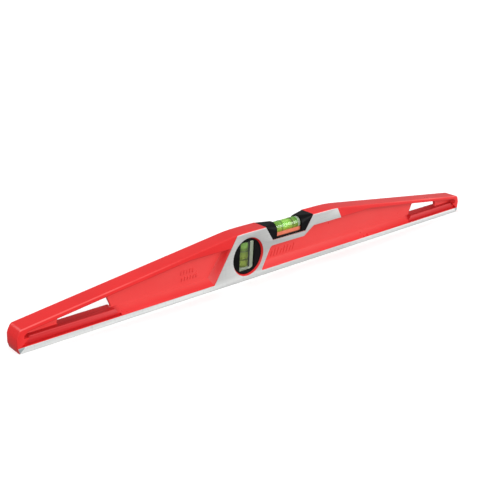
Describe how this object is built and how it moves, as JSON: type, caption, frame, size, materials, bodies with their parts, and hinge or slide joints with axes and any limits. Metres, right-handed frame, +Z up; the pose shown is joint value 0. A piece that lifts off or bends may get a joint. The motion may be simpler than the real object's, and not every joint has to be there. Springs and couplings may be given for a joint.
{
  "type": "spirit level",
  "caption": "Cast trapezoid spirit level with hand slots, a level vial in the top notch and a plumb vial in a round window.",
  "frame": {"origin": "middle of the sole's underside", "axes": "+X along the sole away from the plumb window, -Y the face with the bezel that is seen first, +Z up from the sole"},
  "size_m": [0.6, 0.018, 0.05],
  "materials": {
    "painted_casting": "satin red paint on cast aluminium, ground bare on the boss and sole",
    "black_plastic": "moulded black, half gloss",
    "acrylic": "clear polished acrylic",
    "plug_plastic": "pale translucent plastic",
    "green_fluid": "clear green liquid",
    "air": "air bubble",
    "line_ink": "black printed line",
    "orange_plastic": "bright orange backing",
    "adhesive": "cured adhesive"
  },
  "bodies": {
    "level": {"cast_body": "painted_casting", "top_vial_housing": "black_plastic", "top_vial_barrel": "acrylic", "top_vial_plug_left": "plug_plastic", "top_vial_plug_right": "plug_plastic", "top_vial_fluid": "green_fluid", "top_vial_lines": "line_ink", "top_vial_cradle": "orange_plastic", "top_vial_bedding": "adhesive", "plumb_bezel_front": "black_plastic", "plumb_bezel_rear": "black_plastic", "plumb_carrier_front": "black_plastic", "plumb_carrier_rear": "black_plastic", "plumb_vial_block": "acrylic", "plumb_vial_plug": "plug_plastic", "plumb_vial_fluid": "green_fluid", "plumb_vial_lines": "line_ink", "plumb_bedding": "adhesive"},
    "level_bubble": {"top_vial_bubble": "air"},
    "plumb_bubble": {"plumb_vial_bubble": "air"}
  },
  "joints": [
    {"name": "level_bubble_slide", "type": "slide", "parent": "level", "child": "level_bubble", "axis": [1, 0, 0], "range_m": [-0.0085, 0.0085], "stiffness_N_per_m": 0.5},
    {"name": "plumb_bubble_slide", "type": "slide", "parent": "level", "child": "plumb_bubble", "axis": [0, 0, -1], "range_m": [0, 0.017], "stiffness_N_per_m": 1, "springref_m": -0.02}
  ]
}
